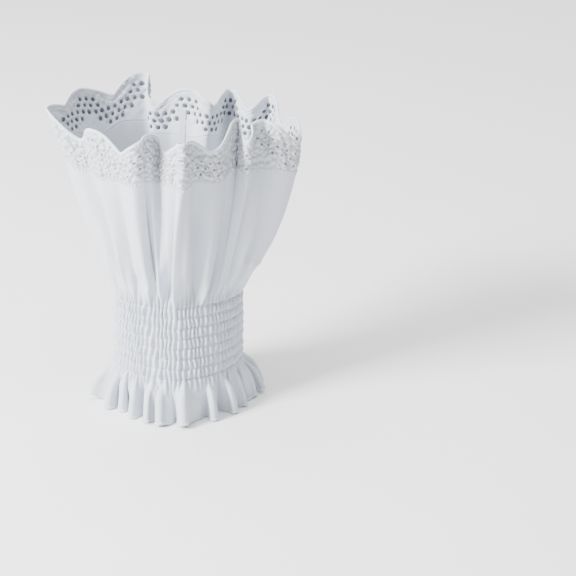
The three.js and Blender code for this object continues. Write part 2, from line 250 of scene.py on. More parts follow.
def rim_curve(folds):
    """A closed smooth curve through the folds: on each span a cubic whose end slopes come from the
    neighbouring folds, spaced by the square roots of their distances. The belly and the extra
    height ease from fold to fold along a smooth step."""
    table = np.array([row[1:] for row in folds], float)
    place = table[:, :2]
    before, here = np.roll(place, 1, 0), place
    after, later = np.roll(place, -1, 0), np.roll(place, -2, 0)

    def spacing(a, b):
        return np.sqrt(np.linalg.norm(b - a, axis=1))[:, None]

    s0, s1, s2 = spacing(before, here), spacing(here, after), spacing(after, later)
    slope = (here - before) / s0 - (after - before) / (s0 + s1) + (after - here) / s1
    slope_after = (after - here) / s1 - (later - here) / (s1 + s2) + (later - after) / s2
    m1, m2 = slope * s1, slope_after * s1
    t = np.linspace(0, 1, POINTS_PER_FOLD, endpoint=False)[None, :, None]
    a = (2 * here - 2 * after + m1 + m2)[:, None]
    b = (-3 * here + 3 * after - 2 * m1 - m2)[:, None]
    points = a * t**3 + b * t**2 + m1[:, None] * t + here[:, None]
    ease = (t * t * (3 - 2 * t))[..., 0]
    eased = [
        (column[:, None] * (1 - ease) + np.roll(column, -1)[:, None] * ease).ravel()
        for column in table[:, 2:].T
    ]
    return even_steps(points.reshape(-1, 2), *eased)


rim = rim_curve(RIM_FOLDS)
RIM_HALF_WIDTH = CLOTH_ROUND / rim[1]
straighter_folds = [
    (row[0], *STRAIGHTER_FOLDS.get(row[0], row[1:3]), *row[3:]) for row in RIM_FOLDS
]
straighter = (rim[0], rim[1], rim_curve(straighter_folds)[2])
band_head = oval(BAND_TOP_HALF_WIDTH, BAND_TOP_HALF_DEPTH, BAND_ROUNDNESS, BAND_TOP_SHIFT)


def straight_cloth(share, up):
    """The smooth middle of the sleeve and lace at a share of the way round and a length up the
    cloth: a straight line from the band's head to the rim, bellied by its fold's share, whose
    height is the sum of what each bit of cloth rises when its lean is taken off its length. The
    rim's tightest folds fade down the cloth with the square of the height, and the elastic holds
    the first bit, its neck, upright."""
    share, up = np.broadcast_arrays(share, up)
    foot_x, foot_y = looked_up(share, band_head)
    head_x, head_y, belly, taller = looked_up(share, rim)
    head_x = (head_x + RIM_SHIFT) * RIM_HALF_WIDTH
    head_y = head_y * RIM_HALF_WIDTH
    lean = np.hypot(head_x - foot_x, head_y - foot_y) / CLOTH_LENGTH
    t = up / CLOTH_LENGTH
    straight_x, straight_y, _, _ = looked_up(share, straighter)
    tight = np.clip(t, 0, 1) ** 2
    head_x = (straight_x + RIM_SHIFT) * RIM_HALF_WIDTH * (1 - tight) + head_x * tight
    head_y = straight_y * RIM_HALF_WIDTH * (1 - tight) + head_y * tight
    neck = NECK / CLOTH_LENGTH
    rise = np.zeros_like(t)
    for step in range(RISE_STEPS):
        here = t * (step + 0.5) / RISE_STEPS
        freed = 1 - np.exp(-np.maximum(here, 0) / neck)
        slope = lean * (1 + belly * (1 - 2 * here)) * freed
        rise += np.sqrt(1 - np.minimum(np.abs(slope), MOST_LEAN) ** 2) * up / RISE_STEPS
    t = (t - neck * (1 - np.exp(-np.maximum(t, 0) / neck))) / (1 - neck)
    reach = t + belly * t * (1 - t)
    x = foot_x + (head_x - foot_x) * reach
    y = foot_y + (head_y - foot_y) * reach
    z = SLEEVE_FOOT + rise + taller * np.minimum(up, SLEEVE_LENGTH)
    return np.stack([x + AXIS[0], y + AXIS[1], z], -1)


def surface_frame(surface, share, up):
    """A surface's point with its three directions: round it, up it, and outward, which is square to
    both. They come from points a millimetre to either side."""
    reach = 1.0
    turn = reach / CLOTH_ROUND
    around = surface(share + turn, up) - surface(share - turn, up)
    upward = surface(share, up + reach) - surface(share, up - reach)
    outward = directions(np.cross(around, upward))
    around = directions(around)
    return surface(share, up), around, np.cross(outward, around), outward


def cloth_between(share, place):
    """Millimetres of cloth from a place in scallops to each share, the shorter way round."""
    return (np.mod(share - place / SCALLOPS + 0.5, 1) - 0.5) * CLOTH_ROUND


def folds(share, up):
    """How far the folds stand out: for each fold a bell across it, whose place and height follow
    the parabola through their values at the band, halfway and at the rim."""
    t = np.clip(up / SLEEVE_LENGTH, 0, 1)

    def through(at_rim, halfway, at_band):
        at_ends = at_band * (1 - t) * (1 - 2 * t) + halfway * 4 * t * (1 - t)
        return at_ends + at_rim * t * (2 * t - 1)

    total = np.zeros(np.broadcast(share, up).shape)
    for _, *places, rim_wide, band_wide, rim_out, half_out, band_out, soft in CLOTH_FOLDS:
        away = np.abs(cloth_between(share, through(*places)))
        wide = band_wide + (rim_wide - band_wide) * t
        total = total + through(rim_out, half_out, band_out) * np.exp(-((away / wide) ** soft))
    return total


def pressed(share):
    """The crease of the press, which sinks away evenly on both sides of it, less its mean."""
    away = np.abs(cloth_between(share, PRESS_PLACE))
    return PRESS_DEPTH * (np.exp(-away / PRESS_WIDTH) - PRESS_MEAN)


def wandering(share, cycles, seed):
    """A smooth closed random wave between about -1 and 1: the sum of seven sines with whole numbers
    of cycles round the cuff near the one asked for, with random starts and strengths."""
    rng = np.random.default_rng(seed)
    total = np.zeros_like(share)
    weight = 0
    for step in range(7):
        whole = max(1, round(cycles * (0.6 + 0.13 * step)))
        strength = rng.uniform(0.5, 1)
        total = total + strength * np.sin(2 * np.pi * (whole * share + rng.uniform()))
        weight += strength
    return total / (0.55 * weight)


def gathers(share, up):
    """How far the gathers stand out: bells side by side, each with its own place, reach and height,
    that drift sideways and widen as they fade with the height above the band, less their mean."""
    rng = np.random.default_rng(11)
    up = np.maximum(up, 0)
    total = np.zeros(np.broadcast(share, up).shape)
    for _, count, wide, reach, out in GATHERS:
        for number in range(count):
            place = (number + rng.uniform(-GATHER_OFFSET, GATHER_OFFSET)) / count * SCALLOPS
            drift = rng.uniform(-GATHER_DRIFT, GATHER_DRIFT)
            high = reach * rng.uniform(*GATHER_REACHES)
            strong = out * rng.uniform(*GATHER_STRENGTHS)
            away = cloth_between(share, place + drift * up)
            away = away / (wide * (1 + GATHER_SPREAD * up / high))
            total = total + strong * np.exp(-(away**2) - (up / high) ** GATHER_FADE)
        fade = np.exp(-((up / reach) ** GATHER_FADE))
        total = total - count * wide * GATHER_MEAN / CLOTH_ROUND * out * fade
    for _, place, height, wide, tall, out in DENTS:
        away = (cloth_between(share, place) / wide) ** 2 + ((up - height) / tall) ** 2
        total = total + out * np.exp(-away)
    return total


def puckers(share, tier):
    """How far the puckers of the elastic stand out: narrow upright ridges, the upper half of a
    cosine to a power, that sway one way in one tier and back in the next, and sink where a row of
    elastic pinches them. tier counts the tiers from the band's foot, so whole numbers are rows."""
    turning = np.sin(np.pi * tier + MEANDER_SHIFT * wandering(share, 8, 52))
    sway = MEANDER * (1 + MEANDER_UNEVENNESS * wandering(share, 12, 51)) * turning
    drift = PUCKER_DRIFT * wandering(share + 0.006 * tier, 9, 11)
    phase = 2 * np.pi * (PUCKERS * share + sway + drift)
    beside = np.abs(tier - np.round(tier)) * BAND_HEIGHT / (ELASTIC_ROWS - 1)
    pinch = np.exp(-((beside / ROW_HALF_HEIGHT) ** 2))
    ridge = (0.5 + 0.5 * np.cos(phase)) ** (PUCKER_SHARPNESS + pinch)
    depth = PUCKER_DEPTH * (1 + PUCKER_UNEVENNESS * wandering(share + 0.01 * tier, 30, 71))
    return ridge * depth * (1 - ROW_PINCH * pinch) - PUCKER_SINK


def sleeve_relief(share, up):
    """How far the cloth stands out from its smooth middle: at its foot the puckers of the last row
    of elastic, which open above it and give way to its folds, its gathers and shallow wrinkles
    that lean with the cloth, and the crease that it was pressed with."""
    height = np.maximum(up, 0)
    soft = sum(wandering(share + lean * up, cycles, seed) * out
               for _, cycles, seed, lean, out in WRINKLES)
    draped = 1 - np.exp(-((height / DRAPE_START) ** DRAPE_SHARPNESS))
    drape = (folds(share, up) + gathers(share, up)) * draped
    opened = 0.5 * (1 - np.exp(-height / PUCKER_OPENING))
    foot = puckers(share, ELASTIC_ROWS - 1 + opened) * np.exp(-((height / PUCKER_REACH) ** 1.5))
    crease = pressed(share) * np.exp(-height / PRESS_FADE)
    return drape + foot + soft * np.clip(up / WRINKLE_START, 0, 1) + crease


def draped_cloth(share, up, out=0.0):
    """The cloth with its folds, moved outward by that much more."""
    middle, _, _, outward = surface_frame(straight_cloth, share, up)
    return middle + outward * (sleeve_relief(share, up) + out)[..., None]


def cloth_frame(share, up):
    """The folded cloth's point, and its directions round it, up it and outward."""
    return surface_frame(draped_cloth, share, up)


def grid_faces(rows, columns):
    """The quads of a grid that closes on itself round its rows, wound so that they face outward."""
    low = np.arange(rows - 1)[:, None] * columns
    here = np.arange(columns)[None, :]
    there = (here + 1) % columns
    quads = [low + here, low + there, low + columns + there, low + columns + here]
    return np.stack(quads, -1).reshape(-1, 4)


def cloth_mesh(name, points, faces, flat=None, thick=0):
    """A smooth-shaded mesh from points in millimetres and quads. flat holds each point's place on
    the flat cloth, in millimetres, as the UV map that the weave follows. A thickness makes the
    sheet a wall, half to each side."""
    points = np.asarray(points, float).reshape(-1, 3)
    mesh = bpy.data.meshes.new(name)
    mesh.vertices.add(len(points))
    mesh.vertices.foreach_set("co", (points * MM).ravel())
    mesh.loops.add(faces.size)
    mesh.loops.foreach_set("vertex_index", faces.ravel())
    mesh.polygons.add(len(faces))
    mesh.polygons.foreach_set("loop_start", np.arange(len(faces)) * 4)
    mesh.polygons.foreach_set("use_smooth", np.ones(len(faces), bool))
    mesh.update(calc_edges=True)
    if flat is not None:
        corners = flat.reshape(-1, 2)[faces.ravel()].reshape(-1, 4, 2)
        wraps = np.ptp(corners[..., 0], axis=1) > CLOTH_ROUND / 2
        behind = wraps[:, None] & (corners[..., 0] < CLOTH_ROUND / 2)
        corners[..., 0] += np.where(behind, CLOTH_ROUND, 0)
        layer = mesh.uv_layers.new(name="flat_cloth")
        layer.data.foreach_set("uv", corners.ravel())
    piece = bpy.data.objects.new(name, mesh)
    bpy.context.scene.collection.objects.link(piece)
    if thick:
        wall = piece.modifiers.new("wall", "SOLIDIFY")
        wall.thickness = thick * MM
        wall.offset = 0
        wall.use_rim = True
    return piece


def fill(node, **values):
    """Fills a node's sockets by name, with underscores for spaces: a value is set on the socket,
    and another node's output is linked to it."""
    for name, value in values.items():
        socket = node.inputs[name.replace("_", " ")]
        if isinstance(value, bpy.types.NodeSocket):
            node.id_data.links.new(value, socket)
        else:
            socket.default_value = value


def node_in(material, kind, modes={}, **values):
    """Adds a node of a kind to a material, with its modes set and its sockets filled."""
    node = material.node_tree.nodes.new("ShaderNode" + kind)
    for mode, value in modes.items():
        setattr(node, mode, value)
    fill(node, **values)
    return node


def new_finish(name, **values):
    """A new material and its shader, with those sockets filled."""
    material = bpy.data.materials.new(name)
    material.use_nodes = True
    shader = material.node_tree.nodes["Principled BSDF"]
    fill(shader, **values)
    return material, shader


def mixed(material, factor, first, second, blend="MIX"):
    """The output of a mix of two colours by a factor. A colour is a value or an output."""
    first, second = [(*c, 1) if isinstance(c, tuple) else c for c in (first, second)]
    modes = {"data_type": "RGBA", "blend_type": blend}
    mix = node_in(material, "Mix", modes, Factor=factor, A=first, B=second)
    return mix.outputs["Result"]


def bumped(material, height, strength, distance, below=None, hollow=False):
    """The output of a bump by a height, that many millimetres deep, on top of the bump below it. A
    hollow bump is turned inside out."""
    bump = node_in(material, "Bump", {"invert": hollow}, Height=height, Strength=strength,
                   Distance=distance * MM)
    if below:
        fill(bump, Normal=below)
    return bump.outputs["Normal"]


def noise(material, scale, detail):
    """The output of a noise on Object coordinates."""
    place = node_in(material, "TexCoord").outputs["Object"]
    return node_in(material, "TexNoise", Vector=place, Scale=scale, Detail=detail).outputs["Fac"]


def cotton(name, light=COTTON_LIGHT, shade=COTTON_SHADE, thread=0.42, weave=0.25, crumple=0.15):
    """Plain woven cotton: two sets of threads across each other as sine bands on the flat cloth, a
    soft crumple, and a slow drift between two whites. One wave is 0.314 long at a scale of 1."""
    material, shader = new_finish(
        name, Roughness=0.9, Specular_IOR_Level=0.25, Sheen_Weight=0.15, Sheen_Roughness=0.6)
    flat = node_in(material, "TexCoord").outputs["UV"]
    crossed = node_in(material, "Math", {"operation": "MULTIPLY"})
    for direction, socket in zip("XY", crossed.inputs):
        bands = node_in(material, "TexWave", {"bands_direction": direction}, Vector=flat,
                        Scale=0.314 / thread, Distortion=0.6, Detail_Scale=0.4)
        material.node_tree.links.new(bands.outputs["Fac"], socket)
    fine = bumped(material, crossed.outputs["Value"], weave, 0.15)
    fill(shader, Base_Color=mixed(material, noise(material, 60, 4), shade, light),
         Normal=bumped(material, noise(material, 220, 5), crumple, 0.6, fine))
    return material


share = (np.arange(SLEEVE_COLUMNS) / SLEEVE_COLUMNS)[None, :]
rows = np.linspace(0, 1, SLEEVE_ROWS) ** ROW_CROWDING
up = (-SLEEVE_OVERLAP + (SLEEVE_LENGTH + 2 * SLEEVE_OVERLAP) * rows)[:, None]
sleeve_flat = np.stack(np.broadcast_arrays(share * CLOTH_ROUND, up), -1)
sleeve_faces = grid_faces(SLEEVE_ROWS, SLEEVE_COLUMNS)
sleeve_cloth = cloth_mesh("sleeve_cloth", draped_cloth(share, up), sleeve_faces, sleeve_flat,
                          SLEEVE_THICK)
sleeve_cloth.data.materials.append(cotton("sleeve_cotton"))
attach(sleeve_cloth, "root")
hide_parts("flared_sleeve")

# The lace is an embroidered edging of firm cotton, pierced with rows of eyelets.
# Each eyelet has a raised rim of thread, and the eyelets follow the scallops in a band, with a
# plain arch below each peak. It is sewn face to face on the sleeve's wide end.
LACE_VALLEY = 15
LACE_THICK = 0.7
BORDER_WIDTH = 1.8
SCALLOP_FULLNESS = 0.65
VALLEY_SOFTNESS = 0.004
EYELETS_ACROSS = 8
EYELET_PITCH = 3.43
CELL_COLUMNS = 6
CELL_ROWS = 4
EYELET_RADIUS = 0.8
EYELET_SIZES = (0.88, 1.1)
# Rows of the lace's lattice. Columns: the row; height of its lower edge above the seam at a
# scallop's valley and at its peak; its cells' shift along; the eyelets' places across from the
# peak. The last two are in cells.
LATTICE = [
    ("seam", 0, 0, 0, ()),
    ("lowest eyelets", 1.4, 2.2, 0, (4, 3, -3)),
    ("low eyelets", 4.4, 6.2, 0.5, (1.5, 2.5, 3.5, -1.5, -2.5, -3.5)),
    ("middle eyelets", 7.5, 10.1, 0, (0, 1, 2, 3, 4, -1, -2, -3)),
    ("high eyelets", 10.6, 13.6, 0.5, (0.5, 1.5, -0.5, -1.5)),
    ("top eyelets", 11.7, 16.8, 0, (0, 1, -1)),
    ("plain edge", 12.7, 20.1, 0, ()),
    ("border", 14.0, 22.9, 0, ()),
]
# Rings of an eyelet from its hole outward. Columns: radius, as a share of the eyelet's; height of
# the thread in millimetres; how much of the shade painted into the hollow lies there.
THREAD_RIM = [
    (0.14, -0.3, 1),
    (0.84, -0.16, 1),
    (1.08, 0.34, 0.25),
    (1.4, 0.5, 0),
    (1.85, 0.08, 0),
]
OUTLINE_INSIDE = 3.6
OUTLINE_HALF_WIDTH = 0.32
OUTLINE_HEIGHT = 0.35
SWELL_HEIGHT = 0.2
PUFF_HEIGHT = 0.35
PUFF_TALL = 4.6
SWELL_START = 6
LUMP_PITCH = 2.6
LUMP_HEIGHT = 2.2
# Painted shade between the lace's lumps: the colour there is multiplied by this.
LUMP_GAP_SHADE = 0.86
LACE_LIGHT = (0.7, 0.735, 0.79)
LACE_SHADE = (0.63, 0.665, 0.725)
# Shade painted into the eyelets' hollows: near black on the back of the lace, grey on its face.
BACK_EYELET_PAINTED_SHADE = (0.1, 0.11, 0.135)
FACE_EYELET_PAINTED_SHADE = (0.36, 0.38, 0.42)


def peakness(share):
    """1 at a scallop's peak and 0 in its valley: the squared cosine, softened at the valley, to the
    power that makes the peaks round and the valleys narrow."""
    square = np.cos(np.pi * SCALLOPS * share) ** 2
    return ((square + VALLEY_SOFTNESS) / (1 + VALLEY_SOFTNESS)) ** SCALLOP_FULLNESS


def lace_height(share):
    """Height of the lace's edge above its seam."""
    return LACE_VALLEY + (LACE_PEAK - LACE_VALLEY) * peakness(share)


def lattice_height(share, level):
    """Height above the seam at a level of the lattice, where whole levels are its rows' lower
    edges: straight lines between the rows' heights, which sway from valley to peak."""
    levels = np.arange(len(LATTICE))
    at_valley = np.interp(level, levels, [row[1] for row in LATTICE])
    at_peak = np.interp(level, levels, [row[2] for row in LATTICE])
    return at_valley + (at_peak - at_valley) * peakness(share)


def one_mesh(parts, faces, each):
    """The faces of one part, repeated for that many parts of each so many points."""
    return (faces[None] + (np.arange(parts) * each)[:, None, None]).reshape(-1, 4)


def ring_cell(centres, sizes):
    """Cells with a round hole: rings of points from the hole's edge through its thread rim to the
    cell's outline. Returns each point's share, level, height of thread and painted shade, and the
    quads."""
    across = np.linspace(-1, 1, CELL_COLUMNS + 1)[:-1]
    high = np.linspace(-1, 1, CELL_ROWS + 1)[:-1]
    x = np.concatenate([across, np.ones(CELL_ROWS), -across, -np.ones(CELL_ROWS)])
    y = np.concatenate([-np.ones(CELL_COLUMNS), high, np.ones(CELL_COLUMNS), -high])
    half = np.array([CLOTH_ROUND / SCALLOPS / EYELETS_ACROSS / 2, EYELET_PITCH / 2])
    corner = np.stack([x, y], -1) * half
    radii, thread, shade = np.array(THREAD_RIM).T
    rings = directions(corner)[None, None] * radii[None, :, None, None] * sizes[:, None, None, None]
    corners = np.broadcast_to(corner, (len(centres), 1, *corner.shape))
    rings = np.concatenate([rings, corners], 1)
    share = centres[:, 0, None, None] + rings[..., 0] / CLOTH_ROUND
    level = centres[:, 1, None, None] + rings[..., 1] / EYELET_PITCH
    raised = np.broadcast_to(np.append(thread, 0)[None, :, None], share.shape)
    shaded = np.broadcast_to(np.append(shade, 0)[None, :, None], share.shape)
    faces = grid_faces(len(radii) + 1, len(corner))[:, ::-1]
    each = (len(radii) + 1) * len(corner)
    points = np.stack([share, level, raised, shaded], -1).reshape(-1, 4)
    return points, one_mesh(len(centres), faces, each)


def plain_cell(centres):
    """Cells without a hole: an even grid over each. Returns the same as ring_cell."""
    across = np.linspace(-0.5, 0.5, CELL_COLUMNS + 1)
    high = np.linspace(-0.5, 0.5, CELL_ROWS + 1)
    across, high = np.meshgrid(across, high)
    share = centres[:, 0, None, None] + across / (SCALLOPS * EYELETS_ACROSS)
    level = centres[:, 1, None, None] + high
    flat = np.zeros_like(share)
    row = CELL_COLUMNS + 1
    low = np.arange(CELL_ROWS)[:, None] * row + np.arange(CELL_COLUMNS)[None, :]
    faces = np.stack([low, low + 1, low + row + 1, low + row], -1).reshape(-1, 4)
    points = np.stack([share, level, flat, flat], -1).reshape(-1, 4)
    return points, one_mesh(len(centres), faces, (CELL_ROWS + 1) * row)


def eyelet_lattice():
    """All cells of the lace as one net: rows of cells, each second row half a cell along, with the
    points that neighbouring cells share made one."""
    cells = SCALLOPS * EYELETS_ACROSS
    holed, plain = [], []
    for row, (_, _, _, shift, places) in enumerate(LATTICE[:-1]):
        spots = (np.arange(cells) + shift) / cells
        offset = np.mod(spots * SCALLOPS + 0.5, 1) * EYELETS_ACROSS - EYELETS_ACROSS / 2
        offset = np.round(offset, 3)
        offset = np.where(offset == -EYELETS_ACROSS / 2, EYELETS_ACROSS / 2, offset)
        has_hole = np.isin(offset, places)
        centres = np.stack([spots, np.full(cells, row + 0.5)], -1)
        holed.append(centres[has_hole])
        plain.append(centres[~has_hole])
    holed, plain = np.concatenate(holed), np.concatenate(plain)
    sizes = EYELET_RADIUS * np.random.default_rng(5).uniform(*EYELET_SIZES, len(holed))
    ring_points, ring_faces = ring_cell(holed, sizes)
    plain_points, plain_faces = plain_cell(plain)
    points = np.concatenate([ring_points, plain_points])
    faces = np.concatenate([ring_faces, plain_faces + len(ring_points)])
    keys = np.stack([np.mod(points[:, 0] + 1e-6, 1) * 1e5, points[:, 1] * 1e3], -1)
    keys = np.round(keys).astype(int)
    _, first, same = np.unique(keys, axis=0, return_index=True, return_inverse=True)
    return points[first], same.ravel()[faces]


def embossed(share, height):
    """How far the lace stands out: a bell along the outline inside the border, a slow random
    swelling, and puffs, which are a random wave round the cuff times a cosine up it."""
    inside = lace_height(share) - height
    outline = np.exp(-(((inside - OUTLINE_INSIDE) / OUTLINE_HALF_WIDTH) ** 2)) * OUTLINE_HEIGHT
    swell = wandering(share + height * 0.002, 33, 32) * SWELL_HEIGHT
    rising = np.cos(2 * np.pi * height / PUFF_TALL + 2 * wandering(share, 21, 33))
    puffs = wandering(share, 74, 31) * rising * PUFF_HEIGHT
    return outline + (swell + puffs) * np.clip(height / SWELL_START, 0, 1)


def shade_where(material, attribute, colour):
    """Turns a cotton to that colour where a value stored on the mesh says so; here it paints shade
    into the eyelets' hollows.
    """
    shader = material.node_tree.nodes["Principled BSDF"]
    stored = node_in(material, "Attribute", {"attribute_name": attribute}).outputs["Fac"]
    own = shader.inputs["Base Color"].links[0].from_socket
    fill(shader, Base_Color=mixed(material, stored, own, colour))


def embroidered(material, pitch, height, gap):
    """Raises the face of a cotton in small round lumps of thread: the nearness to the middle of
    each cell of a loose net on the flat cloth, on top of the bumps that it has. Between the lumps
    its colour is multiplied by gap, a shade painted into the hollows between them."""
    shader = material.node_tree.nodes["Principled BSDF"]
    own, weave = [shader.inputs[name].links[0].from_socket for name in ("Base Color", "Normal")]
    lumps = node_in(material, "TexVoronoi", {"voronoi_dimensions": "2D", "feature": "SMOOTH_F1"},
                    Vector=node_in(material, "TexCoord").outputs["UV"], Scale=1 / pitch,
                    Smoothness=0.5, Randomness=0.9)
    away = lumps.outputs["Distance"]
    between = node_in(material, "MapRange", Value=away, From_Min=0.25, From_Max=0.6)
    between = between.outputs["Result"]
    fill(shader, Normal=bumped(material, away, 1, height, weave, hollow=True),
         Base_Color=mixed(material, between, own, (gap,) * 3, "MULTIPLY"))


net, net_faces = eyelet_lattice()
net_share, net_level, net_thread, net_shade = net.T
net_height = lattice_height(net_share, net_level)
net_out = net_thread + embossed(net_share, net_height)
lace_points = draped_cloth(net_share, SLEEVE_LENGTH + net_height, net_out)
lace_flat = np.stack([np.mod(net_share, 1) * CLOTH_ROUND, net_height + SLEEVE_LENGTH], -1)
eyelet_lace = cloth_mesh("eyelet_lace", lace_points, net_faces, lace_flat, LACE_THICK)
# Each point stores how much of the eyelets' painted shade it takes, mixed into its colour.
painted_eyelet_shade = eyelet_lace.data.attributes.new("painted_eyelet_shade", "FLOAT", "POINT")
painted_eyelet_shade.data.foreach_set("value", net_shade)
for side, shade in (("lace_face", FACE_EYELET_PAINTED_SHADE), ("lace_back", BACK_EYELET_PAINTED_SHADE)):
    lace_cotton = cotton(side, LACE_LIGHT, LACE_SHADE, thread=0.5, weave=0.3, crumple=0.25)
    shade_where(lace_cotton, "painted_eyelet_shade", shade)
    eyelet_lace.data.materials.append(lace_cotton)
embroidered(eyelet_lace.data.materials["lace_face"], LUMP_PITCH, LUMP_HEIGHT, LUMP_GAP_SHADE)
eyelet_lace.modifiers["wall"].material_offset = 1
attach(eyelet_lace, "root")
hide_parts("lace_edging")

# The border is a thick satin stitch over the lace's scalloped edge, so close that it reads as a
# cord, with one thread beside the next square to the edge.
BORDER_THICK = 1.15
BORDER_STEPS = 3000
BORDER_TURNS = 12
SATIN_PITCH = 0.62
SATIN_SWELL = 0.035


def swept(name, centre, side, out, section):
    """A closed tube along a closed path: at each point of the path, the section's two columns are
    measured along its side and outward directions. section is one outline for each path point."""
    points = centre[:, None] + section[..., 0, None] * side[:, None]
    points = points + section[..., 1, None] * out[:, None]
    rings, around = section.shape[:2]
    faces = np.roll(grid_faces(rings + 1, around)[:, ::-1], 1, axis=1) % (rings * around)
    return cloth_mesh(name, points, faces)


def edge_path(steps, inside):
    """Points evenly spaced along the lace's edge, that far inside it, with the directions across
    the edge and out of the surface, and the edge's length."""
    fine = np.linspace(0, 1, 2 * steps, endpoint=False)
    middle, _, _, _ = cloth_frame(fine, SLEEVE_LENGTH + lace_height(fine) - inside)
    stretch = np.linalg.norm(np.roll(middle, -1, 0) - middle, axis=1)
    along = np.concatenate([[0], np.cumsum(stretch)])
    even = np.linspace(0, along[-1], steps, endpoint=False)
    share = np.interp(even, along, np.append(fine, 1))
    centre, _, _, outward = cloth_frame(share, SLEEVE_LENGTH + lace_height(share) - inside)
    tangent = directions(np.roll(centre, -1, 0) - np.roll(centre, 1, 0))
    side = directions(np.cross(outward, tangent))
    return centre, side, np.cross(tangent, side), along[-1]


def stitched_section(turns, wide, thick, swell, pitch, length, steps):
    """An oval for each point of a path, which swells with each stitch: one plus a cosine whose
    whole number of beats fits the path's length."""
    beat = 2 * np.pi * round(length / pitch) * np.arange(steps) / steps
    swollen = 1 + swell * np.cos(beat)
    around = np.linspace(0, 2 * np.pi, turns, endpoint=False)
    x = np.cos(around)[None, :] * (wide / 2) * swollen[:, None]
    y = np.sin(around)[None, :] * (thick / 2) * swollen[:, None]
    return np.stack([x, y], -1)


def thread(name, colour):
    """Twisted sewing thread: white with a soft lustre, and a fine grain on Object coordinates."""
    material, shader = new_finish(name, Roughness=0.6, Specular_IOR_Level=0.35, Sheen_Weight=0.2)
    grains = noise(material, 900, 3)
    between = tuple(value * 0.94 for value in colour)
    fill(shader, Base_Color=mixed(material, grains, between, colour),
         Normal=bumped(material, grains, 0.3, 0.1))
    return material


centre, side, out, edge_length = edge_path(BORDER_STEPS, BORDER_WIDTH / 2)
section = stitched_section(BORDER_TURNS, BORDER_WIDTH, BORDER_THICK, SATIN_SWELL, SATIN_PITCH,
                           edge_length, BORDER_STEPS)
satin_border = swept("satin_border", centre, side, out, section)
satin_border.data.materials.append(thread("satin_thread", (0.7, 0.73, 0.785)))
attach(satin_border, "root")

# The lace is joined to the sleeve by a row of ladder stitches, short upright bars of thread that
# hang from the seam on the outside.
LADDER_PITCH = 1.7
LADDER_LONG = 1.9
LADDER_THICK = 0.42
LADDER_HANG = 0.45
LADDER_RISE = 0.12
LADDER_UNEVENNESS = 0.15
LADDER_LEAN = 0.2
# A small bar of thread from end to end. Columns: place along it, as a share of its length; its
# width there, as a share of its thickness.
BAR_RINGS = [
    (-0.5, 0.25),
    (-0.42, 0.8),
    (-0.2, 1),
    (0.2, 1),
    (0.42, 0.8),
    (0.5, 0.25),
]
BAR_TURNS = 6


def bars(name, centre, along, side, out, long, thick):
    """Many small rounded bars as one mesh: six rings along each bar's own direction, which narrow
    at its ends and are closed there, placed at each centre."""
    places, widths = np.array(BAR_RINGS).T
    turn = np.linspace(0, 2 * np.pi, BAR_TURNS, endpoint=False)
    x = np.cos(turn)[None, :] * widths[:, None] * thick / 2
    y = np.sin(turn)[None, :] * widths[:, None] * thick / 2
    z = np.broadcast_to(places[:, None] * long, x.shape)
    points = centre[:, None, None]
    for offset, direction in ((x, side), (y, out), (z, along)):
        points = points + offset[..., None] * direction[:, None, None]
    foot = np.array([[0, 5, 4, 1], [1, 4, 3, 2]])
    head = foot[:, ::-1] + (len(places) - 1) * BAR_TURNS
    one = np.concatenate([grid_faces(len(places), BAR_TURNS), foot, head])
    return cloth_mesh(name, points, one_mesh(len(centre), one, len(places) * BAR_TURNS))


ladder_count = round(CLOTH_ROUND / LADDER_PITCH)
rng = np.random.default_rng(8)
uneven = rng.uniform(-LADDER_UNEVENNESS, LADDER_UNEVENNESS, ladder_count)
ladder_up = SLEEVE_LENGTH - LADDER_LONG * LADDER_HANG + uneven
middle, around, upward, outward = cloth_frame(np.arange(ladder_count) / ladder_count, ladder_up)
lean = rng.uniform(-LADDER_LEAN, LADDER_LEAN, ladder_count)[:, None]
direction = directions(upward + around * lean)
ladder = bars("ladder_stitches", middle + outward * (SLEEVE_THICK / 2 + LADDER_RISE), direction,
              -np.cross(outward, direction), outward, LADDER_LONG, LADDER_THICK)
ladder.data.materials.append(thread("ladder_thread", (0.67, 0.705, 0.76)))
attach(ladder, "root")

# The smocked band is the same tube of cotton, drawn in by eight rows of elastic thread.
# Between two rows it puffs out in narrow upright puckers, which pinch and sway back at each row.
BAND_FOOT_HALF_WIDTH = 32.5
BAND_FOOT_HALF_DEPTH = 28
BAND_THICK = 0.6
BAND_OVERLAP = 0.008
BAND_COLUMNS = 760
ROWS_PER_TIER = 8
TIERS = ELASTIC_ROWS - 1
band_foot = oval(BAND_FOOT_HALF_WIDTH, BAND_FOOT_HALF_DEPTH, BAND_ROUNDNESS, (0, 0))


def band_frame(share, high):
    """The smooth middle of the band at a share round it and a share of its height: a straight line
    from its foot oval to its head oval, with the directions round it and outward."""
    def middle(at):
        foot, head = looked_up(at, band_foot), looked_up(at, band_head)
        x, y = [low * (1 - high) + top * high for low, top in zip(foot, head)]
        return np.stack([x + AXIS[0], y + AXIS[1], BAND_BOTTOM + BAND_HEIGHT * high + 0 * x], -1)

    step = 0.004
    around = directions(middle(share + step) - middle(share - step))
    return middle(share), around, np.cross(around, np.array([0.0, 0.0, 1.0]))


share = (np.arange(BAND_COLUMNS) / BAND_COLUMNS)[None, :]
high = np.linspace(-BAND_OVERLAP, 1 + BAND_OVERLAP, ROWS_PER_TIER * TIERS + 1)[:, None]
share, high = np.broadcast_arrays(share, high)
middle, _, outward = band_frame(share, high)
band_relief = puckers(share, np.clip(high, 0, 1) * TIERS) + pressed(share)
band_points = middle + outward * band_relief[..., None]
band_flat = np.stack([share * CLOTH_ROUND, high * BAND_HEIGHT], -1)
band_cloth = cloth_mesh("band_cloth", band_points, grid_faces(*share.shape), band_flat, BAND_THICK)
band_cloth.data.materials.append(cotton("band_cotton", crumple=0.2))
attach(band_cloth, "root")
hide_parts("smocked_band")

